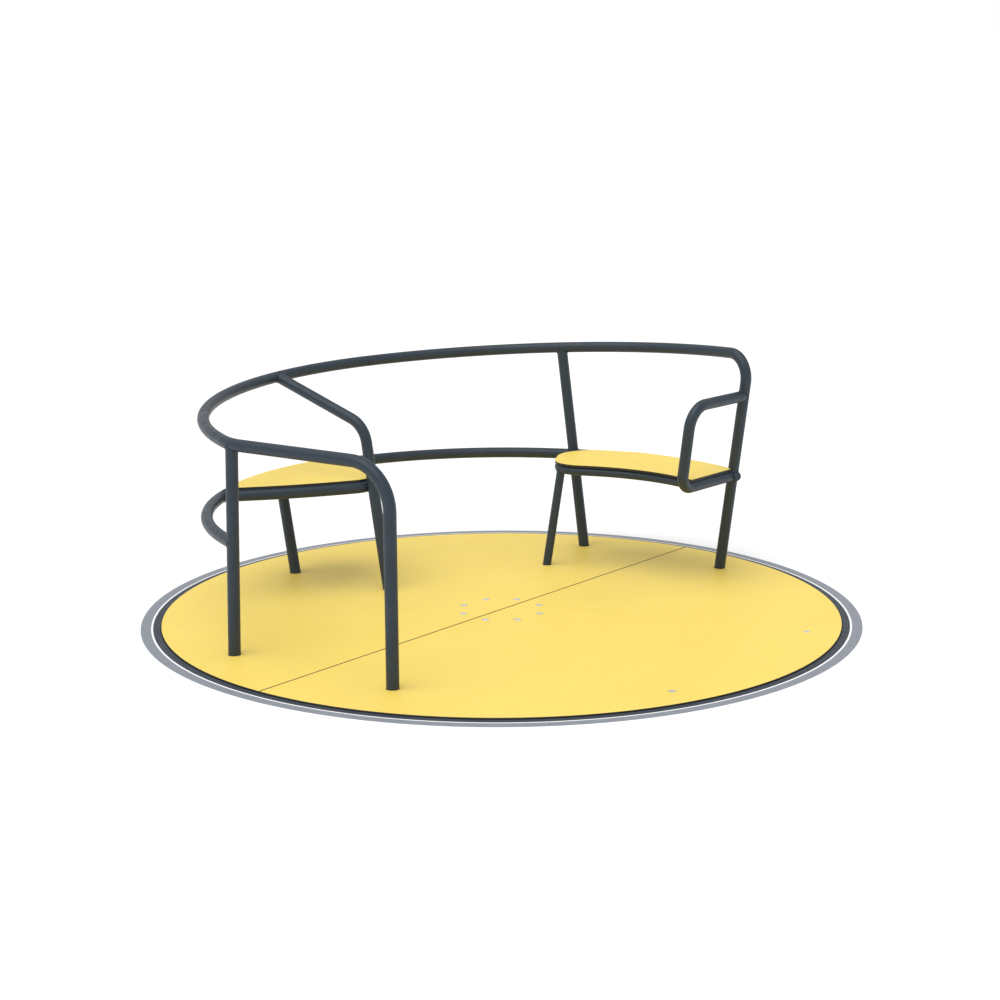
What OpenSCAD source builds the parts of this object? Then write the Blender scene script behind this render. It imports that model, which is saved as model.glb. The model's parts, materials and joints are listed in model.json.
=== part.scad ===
// Flush-mounted playground merry-go-round with two seats and a rising hand rail.
// +Z is up, the turning axis is Z, and z = 0 is the underside of the base plate
// and the ground ring. All sizes are in millimetres.

/* [Pit and ground ring] */
// Outer radius of the ground ring
ring_outer_r = 1300; // [1150:10:1600]
// Width of the ring's flat top
ring_flange_w = 36; // [30:1:60]
// Thickness of the ring's flat top
ring_flange_t = 8; // [5:1:12]
// Thickness of the ring's upright wall
ring_wall_t = 6; // [4:1:10]
// Height of the ring's top above the foundation
ring_top = 240; // [230:5:320]

/* [Platform] */
// Open gap between the ground ring and the turning rim
rim_gap = 8; // [6:1:10]
// Width of the turning rim's flat top
rim_w = 26; // [18:1:40]
// Height of the deck's surface above the ground ring
deck_proud = 5; // [2:1:8]
// Thickness of the laminate deck boards
board_t = 12; // [8:1:18]
// Thickness of the steel deck plate
plate_t = 5; // [4:1:8]
// Direction of the seam between the deck boards, in degrees
seam_angle = 51.3; // [45:0.1:55]
// Height of the spokes
spoke_h = 60; // [40:5:70]
// Width of the spokes
spoke_w = 40; // [30:5:60]

/* [Hub] */
// Radius of the bolt circle that holds the deck to the hub
hub_bolt_r = 150; // [130:5:170]
// Angle of the first hub bolt, in degrees
hub_bolt_angle = 22.25; // [0:0.25:45]
// Radius of the hub's flange
hub_flange_r = 200; // [190:5:240]
// Outer radius of the hub's housing
housing_r = 70; // [66:1:80]
// Radius of the base plate
base_r = 260; // [250:5:300]
// Radius of the anchor bolt circle
anchor_pcd_r = 220; // [200:5:235]
// Diameter of the anchor holes
anchor_hole_d = 18; // [14:1:22]

/* [Tubes] */
// Outer diameter of the frame tubes
tube_d = 42.4; // [38:0.1:50]
// Wall thickness of the frame tubes
tube_wall = 2.9; // [2:0.1:4]
// Outer diameter of the slim tubes
slim_d = 33.7; // [26:0.1:36]
// Wall thickness of the slim tubes
slim_wall = 2.6; // [2:0.1:4]
// Radius of both rails, at the tube's centre
rail_r = 1053; // [1030:1:1080]
// Height of the low rail's centre above the deck
low_rail_h = 387; // [340:1:450]
// Height of the hand rail's centre above the deck at its high end
rail_high_h = 866; // [800:1:950]
// Height of the hand rail's centre above the deck at its low end
rail_low_h = 722.5; // [660:0.5:790]

/* [Seats] */
// Thickness of the seat boards
seat_t = 10; // [8:1:14]
// Radius of the seat boards' back edge
seat_back_r = 1040; // [1034:1:1046]
// Width of the arm loop, from the right post to its front tube
arm_reach = 355; // [320:5:400]
// Height of the arm loop's top tube above its bottom tube
arm_h = 322; // [280:2:360]

/* [Hidden] */
$fn = 192;
eps = 0.5;

// Clearance left round a piece that is seated in another
fit = 0.03;
// Clearance between parts that turn past each other
run = 0.3;
// How far short of another tube's centre a coped tube stops
inset = 5;
// Clear room where two tubes of one joint pass each other
weld_gap = 0.3;
// Hairline left where a tube's straight and bent lengths meet
seam = 0.02;

deck_top = ring_top + deck_proud;
plate_top = deck_top - board_t;
plate_bottom = plate_top - plate_t;
ring_inner_r = ring_outer_r - ring_flange_w;
rim_outer_r = ring_inner_r - rim_gap;
board_r = rim_outer_r - rim_w;
rim_top = ring_top + 0.5;
rim_skirt_t = 6;
spoke_count = 8;
spoke_wall = 3;
spoke_bottom = plate_bottom - spoke_h;
board_gap = 2;

low_z = deck_top + low_rail_h;
rail_hi_z = deck_top + rail_high_h;
rail_lo_z = deck_top + rail_low_h;
seat_bottom = low_z + tube_d / 2;
slim_z = seat_bottom - slim_d / 2;

// ---- Colours ----
anthracite = [0.27, 0.31, 0.36];
yellow = [1.0, 0.89, 0.47];
zinc = [0.61, 0.63, 0.66];
steel = [0.72, 0.73, 0.75];
rim_grey = [0.29, 0.33, 0.38];
rubber = [0.15, 0.15, 0.16];
brass = [0.75, 0.62, 0.35];

// ---- Geometry helpers ----
function polar(r, a, z = 0) = [r * cos(a), r * sin(a), z];
function unit(v) = v / norm(v);
function flat(v) = [v.x, v.y];
function arc_points(c, r, a0, a1, n) = [
    for (i = [0:n]) [c.x + r * cos(a0 + (a1 - a0) * i / n), c.y + r * sin(a0 + (a1 - a0) * i / n)]
];

// Puts the children's origin at p with their +Z along dir.
module aligned(p, dir) {
    u = unit(dir);
    translate(p) rotate([0, acos(u.z), atan2(u.y, u.x)]) rotate([0, 0, 37]) children();
}

module rod(p, q, d) {
    aligned(p, q - p) cylinder(d = d, h = norm(q - p));
}

// A tube's section; a wall of 0 makes it solid.
module annulus(d, wall) {
    difference() {
        circle(d = d);
        if (wall > 0) circle(d = d - 2 * wall);
    }
}

module straight_tube(p, q, d, wall) {
    aligned(p, q - p) linear_extrude(norm(q - p)) annulus(d, wall);
}

// Half of the turn a path makes at corner b, and the length a bend of radius r takes from each side.
function half_turn(a, b, c) = acos(unit(b - a) * unit(c - b)) / 2;
function bend_length(a, b, c, r) = r * tan(half_turn(a, b, c));

module bent_tube(a, b, c, r, d, wall) {
    half = half_turn(a, b, c);
    to_a = unit(a - b);
    to_c = unit(c - b);
    centre = b + unit(to_a + to_c) * r / cos(half);
    e1 = unit(b + to_a * r * tan(half) - centre);
    e3 = unit(cross(e1, b + to_c * r * tan(half) - centre));
    e2 = cross(e3, e1);
    multmatrix([
        [e1.x, e2.x, e3.x, centre.x],
        [e1.y, e2.y, e3.y, centre.y],
        [e1.z, e2.z, e3.z, centre.z],
        [0, 0, 0, 1]
    ]) rotate_extrude(angle = 2 * half) translate([r, 0]) annulus(d, wall);
}

// A tube along a path: straight between its points, with a bend at each inner one.
module tube(points, radii, d, wall) {
    last = len(points) - 1;
    for (i = [0:last - 1]) {
        dir = unit(points[i + 1] - points[i]);
        trim_a = i == 0 ? 0 : bend_length(points[i - 1], points[i], points[i + 1], radii[i - 1]) + seam;
        trim_b = i == last - 1 ? 0 : bend_length(points[i], points[i + 1], points[i + 2], radii[i]) + seam;
        straight_tube(points[i] + dir * trim_a, points[i + 1] - dir * trim_b, d, wall);
    }
    for (i = [1:1:last - 1]) bent_tube(points[i - 1], points[i], points[i + 1], radii[i - 1], d, wall);
}

// A level arc about c, solid or hollow.
module arc_bar(c, r, a0, a1, z, d) {
    translate([c.x, c.y, z]) rotate([0, 0, a0])
        rotate_extrude(angle = a1 - a0) translate([r, 0]) circle(d = d);
}

module arc_tube(c, r, a0, a1, z, d, wall) {
    translate([c.x, c.y, z]) rotate([0, 0, a0])
        rotate_extrude(angle = a1 - a0) translate([r, 0]) annulus(d, wall);
}

// ---- Hand rail: two flat arcs, each tilted so that together they fall evenly ----
rail_start = 32.2;
rail_end = 209.8;
rail_mid = (rail_start + rail_end) / 2;
rail_half = (rail_end - rail_start) / 4;
rail_tilt = -asin((rail_hi_z - rail_lo_z) / 4 / (rail_r * sin(rail_half)));
rail_back = [rail_start + rail_half, rail_hi_z - (rail_hi_z - rail_lo_z) / 4];
rail_side = [rail_end - rail_half, rail_lo_z + (rail_hi_z - rail_lo_z) / 4];

function tilted(v, a) = [
    v.x * cos(a) - v.y * cos(rail_tilt) * sin(a),
    v.x * sin(a) + v.y * cos(rail_tilt) * cos(a),
    v.y * sin(rail_tilt)
];
// Point and direction on an arc, t degrees past its middle.
function rail_point(arc, t) = tilted([rail_r * cos(t), rail_r * sin(t)], arc[0]) + [0, 0, arc[1]];
function rail_dir(arc, t) = tilted([-sin(t), cos(t)], arc[0]);

module on_rail(arc) {
    translate([0, 0, arc[1]]) rotate([0, 0, arc[0]]) rotate([rail_tilt, 0, 0])
        rotate([0, 0, -rail_half]) rotate_extrude(angle = 2 * rail_half) translate([rail_r, 0]) children();
}

module rail_bar(arc) {
    on_rail(arc) circle(d = tube_d);
}

module top_rail_back() {
    color(anthracite) on_rail(rail_back) annulus(tube_d, tube_wall);
}

module top_rail_side() {
    color(anthracite) on_rail(rail_side) annulus(tube_d, tube_wall);
}

// ---- Posts and legs: a foot under the deck board, then up to the rails ----
function on_height(p, q, z) = p + (q - p) * (z - p.z) / (q.z - p.z);

post_bend_r = 90;
rail_first = rail_point(rail_back, -rail_half);
right_top = rail_first - rail_dir(rail_back, -rail_half) * 113;
right_foot = polar(1060, 34.9, ring_top);
right_low = on_height(right_foot, right_top, low_z);
right_low_angle = atan2(right_low.y, right_low.x);
right_path = [on_height(right_foot, right_top, plate_top - 20), right_top, rail_first];

back_low_angle = 73.25;
back_top_angle = 76.1;
back_low = polar(rail_r, back_low_angle, low_z);
back_top = rail_point(rail_back, back_top_angle - rail_back[0]);
back_path = [on_height(back_low, back_top, plate_top - 20), back_top];

handle_bend_r = 150;
kink_r = 200;
kink = 25.7;
handle_run = 613;
rail_last = rail_point(rail_side, rail_half);
rail_out = rail_dir(rail_side, rail_half);
handle_heading = atan2(rail_out.y, rail_out.x) + kink;
handle_kink = rail_last + rail_out * (kink_r * tan(kink / 2) + 3);
handle_corner = handle_kink + polar(handle_run + kink_r * tan(kink / 2), handle_heading, 0);
handle_path = [rail_last, handle_kink, handle_corner, [handle_corner.x, handle_corner.y, plate_top]];

// The left post stands under the middle of the rail's soft bend into the front hand hold.
left_foot = polar(1059, 211.7, ring_top);
handle_out = unit(handle_corner - handle_kink);
left_lean = unit(rail_out + handle_out);
left_top = handle_kink + unit(handle_out - rail_out) * kink_r * (1 / cos(kink / 2) - 1);
left_low = on_height(left_foot, left_top, low_z);
left_low_angle = atan2(left_low.y, left_low.x) + 360;
left_path = [on_height(left_foot, left_top, plate_top - 20), left_top];

arm_angle = 145.4;
arm_foot_r = 523;
arm_corner_r = 627.5;
arm_corner_h = 382.6 + 240;
arm_bend_r = 110;
arm_top = rail_point(rail_side, arm_angle - rail_side[0]);
arm_corner = polar(arm_corner_r, arm_angle, deck_top + arm_corner_h);
arm_foot = polar(arm_foot_r, arm_angle, ring_top);
arm_path = [arm_top, arm_corner, on_height(arm_foot, arm_corner, plate_top - 20)];

rear_foot = polar(989, 145.4, ring_top);
rear_top = polar(rail_r, 145.7, low_z);
rear_path = [on_height(rear_foot, rear_top, plate_top - 20), rear_top];

// ---- Right seat: a slim front tube with a round end, and the arm loop ----
side_dir = [-0.6397, -0.7688, 0];
post_dir = (right_top - right_foot) / (right_top.z - right_foot.z);
loop_bend_r = [63, 80];
loop_low_in = right_low;
loop_low_out = right_low + side_dir * arm_reach;
loop_high_out = loop_low_out + post_dir * arm_h;
loop_high_in = loop_low_in + post_dir * arm_h;
loop_path = [loop_low_in + side_dir * inset, loop_low_out, loop_high_out, loop_high_in + side_dir * inset];

front_c = [170, -32];
front_r = 663;
front_start = 33;
front_end = 77.4;
end_r = 105;
end_heading = 72.5;
end_c = front_c + flat(polar(front_r + end_r, front_end));
end_point = end_c + end_r * [-sin(end_heading), cos(end_heading)];
end_run = 262;
end_meet = end_point + end_run * [cos(end_heading), sin(end_heading)];

seat_leg_foot = [183, 672, ring_top];
seat_leg_top = [end_c.x - 97.3, end_c.y - 40, slim_z];
seat_leg_path = [on_height(seat_leg_foot, seat_leg_top, plate_top - 20), seat_leg_top];

// ---- Left seat: a long front curve, a round end and a stretch back to the low rail ----
curve_c = [-1326, 2093];
curve_r = 1924;
curve_start = -81.1;
curve_end = -66.3;
round_r = 117;
round_heading = 135;
curve_stop = curve_c + curve_r * [cos(curve_end), sin(curve_end)];
round_c = curve_c + (curve_r - round_r) * [cos(curve_end), sin(curve_end)];
round_stop = round_c + round_r * [sin(round_heading), -cos(round_heading)];
round_run = 312;
round_meet = round_stop + round_run * [cos(round_heading), sin(round_heading)];

module below_plate() {
    translate([0, 0, plate_top - 60]) cylinder(r = board_r + 10, h = 60);
}

module right_post() {
    color(anthracite) difference() {
        tube(right_path, [post_bend_r], tube_d, tube_wall);
        below_plate();
    }
}

module back_post() {
    color(anthracite) difference() {
        tube([back_path[0], back_path[1] - unit(back_path[1] - back_path[0]) * inset], [], tube_d, tube_wall);
        below_plate();
        rail_bar(rail_back);
    }
}

module left_post() {
    color(anthracite) difference() {
        tube([left_path[0], left_path[1] - unit(left_path[1] - left_path[0]) * inset], [], tube_d, tube_wall);
        below_plate();
        // The rail bends softly over this post, so the straight cope is a little wider.
        rod(left_top - left_lean * 60, left_top + left_lean * 60, tube_d + 2.6);
    }
}

module front_handle() {
    color(anthracite) tube(handle_path, [kink_r, handle_bend_r], tube_d, tube_wall);
}

module arm_handle() {
    color(anthracite) difference() {
        tube([arm_top + unit(arm_corner - arm_top) * inset, arm_corner, arm_path[2]], [arm_bend_r], tube_d, tube_wall);
        below_plate();
        rail_bar(rail_side);
    }
}

module rear_leg() {
    color(anthracite) difference() {
        tube([rear_path[0], rear_path[1] - unit(rear_path[1] - rear_path[0]) * inset], [], tube_d, tube_wall);
        below_plate();
        arc_bar([0, 0], rail_r, 140, 152, low_z, tube_d);
    }
}

module seat_leg() {
    color(anthracite) difference() {
        tube([seat_leg_path[0], seat_leg_path[1] - [0, 0, inset]], [], slim_d, slim_wall);
        below_plate();
        arc_bar(end_c, end_r, end_heading + 90, front_end + 180, slim_z, slim_d);
    }
}

module low_rail_right() {
    gap = inset / rail_r * 180 / PI;
    color(anthracite) difference() {
        arc_tube([0, 0], rail_r, right_low_angle + gap, back_low_angle - gap, low_z, tube_d, tube_wall);
        rod(right_foot, right_top, tube_d);
        rod(back_path[0], back_path[1], tube_d);
        rod(loop_path[0] - side_dir * inset, loop_low_out, tube_d + 2 * weld_gap);
    }
}

module low_rail_left() {
    gap = inset / rail_r * 180 / PI;
    color(anthracite) difference() {
        arc_tube([0, 0], rail_r, back_low_angle + gap, left_low_angle - gap, low_z, tube_d, tube_wall);
        rod(back_path[0], back_path[1], tube_d);
        rod(left_path[0], left_path[1], tube_d);
    }
}

// The low rail's domed end, on the far side of the right post.
cap_d = 36;
cap_round = 8;

module low_rail_end_cap() {
    reach = tube_d / 2 + 14;
    color(anthracite) difference() {
        aligned(right_low, [sin(right_low_angle), -cos(right_low_angle), 0]) rotate_extrude() polygon(concat(
            [[0, 6], [cap_d / 2, 6]],
            arc_points([cap_d / 2 - cap_round, reach - cap_round], cap_round, 0, 90, 6),
            [[0, reach]]
        ));
        rod(right_foot, right_top, tube_d);
        rod(loop_path[0], loop_low_out, tube_d);
    }
}

module loop_low_bend() {
    bent_tube(loop_low_in, loop_low_out, loop_high_out, loop_bend_r[0], tube_d + 2 * fit, 0);
}

module arm_loop() {
    color(anthracite) difference() {
        tube(loop_path, loop_bend_r, tube_d, tube_wall);
        rod(right_foot, right_top, tube_d);
    }
}

module right_seat_tube() {
    color(anthracite) difference() {
        union() {
            arc_tube(front_c, front_r, front_start, front_end - 0.002, slim_z, slim_d, slim_wall);
            arc_tube(end_c, end_r, end_heading + 90.01, front_end + 180, slim_z, slim_d, slim_wall);
            straight_tube(concat(end_point, slim_z), concat(end_meet, slim_z), slim_d, slim_wall);
        }
        rod(loop_path[0], loop_low_out, tube_d);
        loop_low_bend();
        arc_bar([0, 0], rail_r, right_low_angle, back_low_angle + 5, low_z, tube_d);
        rod(back_path[0], back_path[1], tube_d + 2 * weld_gap);
    }
}

module left_seat_tube() {
    color(anthracite) difference() {
        union() {
            arc_tube(curve_c, curve_r, curve_start, curve_end, low_z, tube_d, tube_wall);
            arc_tube(round_c, round_r, curve_end + 0.01, round_heading - 90.01, low_z, tube_d, tube_wall);
            straight_tube(concat(round_stop, low_z), concat(round_meet, low_z), tube_d, tube_wall);
        }
        arc_bar([0, 0], rail_r, 125, 180, low_z, tube_d);
        rod(arm_foot, arm_corner, tube_d);
    }
}

// ---- Seat boards ----
board_edge = 16;
left_board_start = 168.7;
left_board_end = 136.2;

module seat_plate(points) {
    translate([0, 0, seat_bottom]) linear_extrude(seat_t) polygon(points);
}

right_board_corner = 30.1;
post_notch = 3;

module right_seat_board() {
    back_c = [377, 780];
    color(yellow) difference() {
        seat_plate(concat(
            arc_points(front_c, front_r - board_edge, 31.6, front_end, 32),
            arc_points(end_c, end_r + board_edge, front_end + 180, 172, 20),
            arc_points(back_c, 150, 172, 68, 24),
            arc_points([0, 0], seat_back_r, 57.5, right_board_corner, 24)
        ));
        for (p = right_screw_points) translate([p.x, p.y, seat_bottom - 1]) cylinder(d = 5.2, h = 8);
        loop_low_bend();
        rod(right_foot, right_top, tube_d + 2 * post_notch);
    }
}

module left_seat_board() {
    color(yellow) difference() {
        seat_plate(concat(
            arc_points([0, 0], seat_back_r, left_board_end, left_board_start, 32),
            arc_points(curve_c, curve_r, -80.8, curve_end, 32),
            arc_points(round_c, round_r, curve_end, round_heading - 90, 20)
        ));
        for (p = left_screw_points) translate([p.x, p.y, seat_bottom - 1]) cylinder(d = 5.2, h = 8);
    }
}

// Tabs welded to the seat tubes; a screw goes up through each into the board.
tab_l = 46;
tab_w = 30;
tab_t = 5;
tab_root = 6;
right_tabs = [
    [polar(rail_r, 42, 0), 42 + 180, tube_d / 2],
    [polar(rail_r, 60, 0), 60 + 180, tube_d / 2],
    [concat(front_c + flat(polar(front_r, 44)), 0), 44, slim_d / 2],
    [concat(front_c + flat(polar(front_r, 68)), 0), 68, slim_d / 2]
];
left_tabs = [
    [polar(rail_r, 162, 0), 162 + 180, tube_d / 2],
    [polar(rail_r, 150, 0), 150 + 180, tube_d / 2],
    [concat(curve_c + flat(polar(curve_r, -75)), 0), -75 + 180, tube_d / 2],
    [concat(curve_c + flat(polar(curve_r, -68)), 0), -68 + 180, tube_d / 2]
];
function tab_hole(tab) = [tab[0].x, tab[0].y] + (tab[2] + tab_l - 14) * [cos(tab[1]), sin(tab[1])];
right_screw_points = [for (tab = right_tabs) tab_hole(tab)];
left_screw_points = [for (tab = left_tabs) tab_hole(tab)];

module tab(t) {
    translate([t[0].x, t[0].y, seat_bottom - tab_t]) rotate([0, 0, t[1]]) difference() {
        translate([tab_root, -tab_w / 2, 0]) cube([t[2] + tab_l - tab_root, tab_w, tab_t]);
        translate([t[2] + tab_l - 14, 0, -1]) cylinder(d = 6.6, h = tab_t + 2);
    }
}

module right_seat_tabs() {
    color(anthracite) difference() {
        for (t = right_tabs) tab(t);
        arc_bar([0, 0], rail_r, right_low_angle, back_low_angle, low_z, tube_d);
        arc_bar(front_c, front_r, front_start, front_end, slim_z, slim_d);
    }
}

module left_seat_tabs() {
    color(anthracite) difference() {
        for (t = left_tabs) tab(t);
        arc_bar([0, 0], rail_r, 125, 180, low_z, tube_d);
        arc_bar(curve_c, curve_r, curve_start, curve_end, low_z, tube_d);
    }
}

module seat_screw(p) {
    translate([p.x, p.y, seat_bottom - tab_t - 4]) {
        cylinder(d = 12, h = 4);
        cylinder(d = 5, h = 4 + tab_t + 6);
    }
}

module right_seat_screws() {
    color(steel) for (p = right_screw_points) seat_screw(p);
}

module left_seat_screws() {
    color(steel) for (p = left_screw_points) seat_screw(p);
}

// ---- Feet: a threaded boss in each tube's end, bolted from below the deck plate ----
feet = [
    [right_path[0], right_top, tube_d - 2 * tube_wall],
    [back_path[0], back_path[1], tube_d - 2 * tube_wall],
    [left_path[0], left_path[1], tube_d - 2 * tube_wall],
    [handle_path[3], handle_corner, tube_d - 2 * tube_wall],
    [arm_path[2], arm_corner, tube_d - 2 * tube_wall],
    [rear_path[0], rear_path[1], tube_d - 2 * tube_wall],
    [seat_leg_path[0], seat_leg_path[1], slim_d - 2 * slim_wall]
];
boss_h = 24;
boss_gap = 0.25;
post_bolt_d = 12;
function foot_at(f, z) = on_height(f[0], f[1], z);

module post_bosses() {
    color(steel) for (f = feet) difference() {
        rod(f[0], foot_at(f, plate_top + boss_h), f[2] - 2 * boss_gap);
        below_plate();
        translate([foot_at(f, plate_top).x, foot_at(f, plate_top).y, plate_top - 1])
            cylinder(d = post_bolt_d + 2 * fit, h = boss_h + 10);
    }
}

module post_bolts() {
    color(steel) for (f = feet) translate([foot_at(f, plate_top).x, foot_at(f, plate_top).y, plate_bottom - 10]) {
        translate([0, 0, 2.5]) cylinder(d = 24, h = 7.5);
        cylinder(d = 20.8, h = 7.5, $fn = 6);
        cylinder(d = post_bolt_d, h = 10 + plate_t + 18);
    }
}

// ---- Platform ----
hub_bolts_at = [for (i = [0:7]) hub_bolt_angle + 45 * i];
plug_r = 1113;
plug_angles = [seam_angle + 247.5, seam_angle + 292.5];
bolt_head_d = 26;
bolt_shank_d = 12;
bolt_head_t = 5;

module bolt_holes(d, z, h) {
    for (a = hub_bolts_at) translate(polar(hub_bolt_r, a, z)) cylinder(d = d, h = h);
}

module board(turn) {
    difference() {
        translate([0, 0, plate_top]) cylinder(r = board_r - 1, h = board_t);
        rotate([0, 0, seam_angle + turn]) translate([-board_r - 10, -board_r - 10 + board_gap / 2, plate_top - 1])
            cube([2 * board_r + 20, board_r + 10, board_t + 2]);
        bolt_holes(bolt_shank_d + 2, plate_top - 1, board_t + 2);
        bolt_holes(bolt_head_d + 0.6, deck_top - bolt_head_t, board_t);
        for (a = plug_angles) translate(polar(plug_r, a, deck_top - 6)) cylinder(d = 24.6, h = 10);
        for (a = plug_angles) translate(polar(plug_r, a, plate_top - 1)) cylinder(d = 17, h = board_t);
        foot_cuts();
    }
}

module foot_cuts() {
    for (f = feet) rod(f[0], foot_at(f, deck_top + 30), f[2] + (f[2] > 30 ? 2 * tube_wall : 2 * slim_wall) + 1.6);
}

module deck_board_a() {
    color(yellow) board(0);
}

module deck_board_b() {
    color(yellow) board(180);
}

module deck_plate() {
    color(steel) difference() {
        translate([0, 0, plate_bottom]) cylinder(r = board_r - fit, h = plate_t);
        bolt_holes(bolt_shank_d + 1, plate_bottom - 1, plate_t + 2);
        for (f = feet) translate([foot_at(f, plate_top).x, foot_at(f, plate_top).y, plate_bottom - 1])
            cylinder(d = post_bolt_d + 1, h = plate_t + 2);
        for (a = plug_angles) translate(polar(plug_r, a, plate_bottom - 1)) cylinder(d = 16.4, h = plate_t + 2);
    }
}

module rim_ring() {
    color(rim_grey) difference() {
        translate([0, 0, spoke_bottom]) cylinder(r = rim_outer_r, h = rim_top - spoke_bottom);
        translate([0, 0, spoke_bottom - 1]) cylinder(r = rim_outer_r - rim_skirt_t, h = plate_bottom - spoke_bottom + 1);
        translate([0, 0, spoke_bottom]) cylinder(r = board_r, h = rim_top);
    }
}

module deck_spokes() {
    color(steel) for (i = [0:spoke_count - 1]) rotate([0, 0, seam_angle + i * 360 / spoke_count]) difference() {
        translate([housing_r - 5, -spoke_w / 2, spoke_bottom])
            cube([rim_outer_r - rim_skirt_t - 0.5 - housing_r + 5, spoke_w, spoke_h]);
        translate([0, -spoke_w / 2 + spoke_wall, spoke_bottom + spoke_wall])
            cube([rim_outer_r, spoke_w - 2 * spoke_wall, spoke_h - 2 * spoke_wall]);
        translate([0, 0, spoke_bottom - 1]) cylinder(r = housing_r + fit, h = spoke_h + 2);
        translate([0, 0, flange_bottom - fit]) cylinder(r = hub_flange_r + fit, h = spoke_h);
    }
}

module hub_bolts() {
    color(steel) for (a = hub_bolts_at) translate(polar(hub_bolt_r, a, deck_top - bolt_head_t)) {
        difference() {
            cylinder(d = bolt_head_d, h = bolt_head_t);
            translate([0, 0, 1.5]) cylinder(d = 9.2, h = bolt_head_t, $fn = 6);
        }
        translate([0, 0, -(board_t - bolt_head_t) - plate_t - flange_t - 14])
            cylinder(d = bolt_shank_d, h = board_t - bolt_head_t + plate_t + flange_t + 14);
        translate([0, 0, -(board_t - bolt_head_t) - plate_t - flange_t - 10])
            cylinder(d = 21, h = 10, $fn = 6);
    }
}

module lifting_plugs() {
    color(steel) for (a = plug_angles) translate(polar(plug_r, a, plate_bottom - 12)) {
        cylinder(d = 16, h = 12 + plate_t + board_t - 2);
        translate([0, 0, 12 + plate_t + board_t - 6]) difference() {
            cylinder(d = 24, h = 6);
            translate([0, 0, 3]) cylinder(d = 8, h = 6, $fn = 6);
        }
    }
}

// ---- Hub: a housing that turns on a fixed spindle in two ball bearings ----
base_t = 15;
flange_t = 12;
flange_bottom = plate_bottom - flange_t;
housing_bottom = 42;

// Ball bearings: bore radius, outer radius, width, ball radius, ball count, bottom height
low_brg = [30, 55, 22, 7.94, 10, 52];
top_brg = [25, 45, 20, 6.35, 10, flange_bottom - 34];
function pitch_r(b) = (b[0] + b[1]) / 2;

spindle_flange_r = 100;
spindle_flange_t = 14;
spindle_screw_r = 80;
shoulder_r = 36;
nut_thread_d = 48;

module bearing_groove(b) {
    translate([0, 0, b[5] + b[2] / 2]) rotate_extrude() translate([pitch_r(b), 0]) circle(r = b[3] + 0.15, $fn = 96);
}

module inner_race(b) {
    color(steel) difference() {
        translate([0, 0, b[5]]) cylinder(r = pitch_r(b) - b[3] * 0.55, h = b[2]);
        translate([0, 0, b[5] - 1]) cylinder(r = b[0] + fit, h = b[2] + 2);
        bearing_groove(b);
    }
}

module outer_race(b) {
    color(steel) difference() {
        translate([0, 0, b[5]]) cylinder(r = b[1], h = b[2]);
        translate([0, 0, b[5] - 1]) cylinder(r = pitch_r(b) + b[3] * 0.55, h = b[2] + 2);
        bearing_groove(b);
    }
}

module balls(b) {
    color(steel) for (i = [0:b[4] - 1]) rotate([0, 0, i * 360 / b[4]])
        translate([pitch_r(b), 0, b[5] + b[2] / 2]) sphere(r = b[3], $fn = 96);
}

module cage(b) {
    color(brass) difference() {
        translate([0, 0, b[5] + 2]) cylinder(r = pitch_r(b) + 1.5, h = b[2] - 4);
        translate([0, 0, b[5]]) cylinder(r = pitch_r(b) - 1.5, h = b[2]);
        for (i = [0:b[4] - 1]) rotate([0, 0, i * 360 / b[4]])
            translate([pitch_r(b) - 8, 0, b[5] + b[2] / 2]) rotate([0, 90, 0]) cylinder(r = b[3] + 0.2, h = 16);
    }
}

module lower_inner_race() { inner_race(low_brg); }
module upper_inner_race() { inner_race(top_brg); }
module lower_outer_race() { outer_race(low_brg); }
module upper_outer_race() { outer_race(top_brg); }
module lower_balls() { balls(low_brg); }
module upper_balls() { balls(top_brg); }
module lower_cage() { cage(low_brg); }
module upper_cage() { cage(top_brg); }

module hub_housing() {
    color(rim_grey) difference() {
        union() {
            translate([0, 0, housing_bottom]) cylinder(r = housing_r, h = plate_bottom - housing_bottom);
            translate([0, 0, flange_bottom]) cylinder(r = hub_flange_r, h = flange_t);
        }
        translate([0, 0, housing_bottom - 1]) cylinder(r = low_brg[1] + fit, h = low_brg[5] + low_brg[2] - housing_bottom + 1);
        translate([0, 0, housing_bottom]) cylinder(r = top_brg[1] - 4, h = 200);
        translate([0, 0, top_brg[5]]) cylinder(r = top_brg[1] + fit, h = 200);
        bolt_holes(bolt_shank_d + 1, flange_bottom - 1, flange_t + 2);
    }
}

// A lip seal pressed into the housing's mouth, clear of the spindle's shoulder by a running gap.
module dust_seal() {
    color(rubber) difference() {
        translate([0, 0, housing_bottom]) cylinder(r = low_brg[1] - 0.2, h = 8);
        translate([0, 0, housing_bottom - 1]) cylinder(r = shoulder_r + run, h = 10);
    }
}

module spindle() {
    color(steel) difference() {
        union() {
            translate([0, 0, base_t]) cylinder(r = spindle_flange_r, h = spindle_flange_t);
            translate([0, 0, base_t]) cylinder(r = shoulder_r, h = low_brg[5] - base_t);
            translate([0, 0, base_t]) cylinder(r = low_brg[0], h = top_brg[5] - base_t);
            translate([0, 0, base_t]) cylinder(r = top_brg[0], h = top_brg[5] + top_brg[2] + 2 - base_t);
            translate([0, 0, base_t]) cylinder(d = nut_thread_d, h = top_brg[5] + top_brg[2] + 24 - base_t);
        }
        for (i = [0:5]) translate(polar(spindle_screw_r, 60 * i, base_t - 1)) cylinder(d = 13, h = 30);
    }
}

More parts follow.
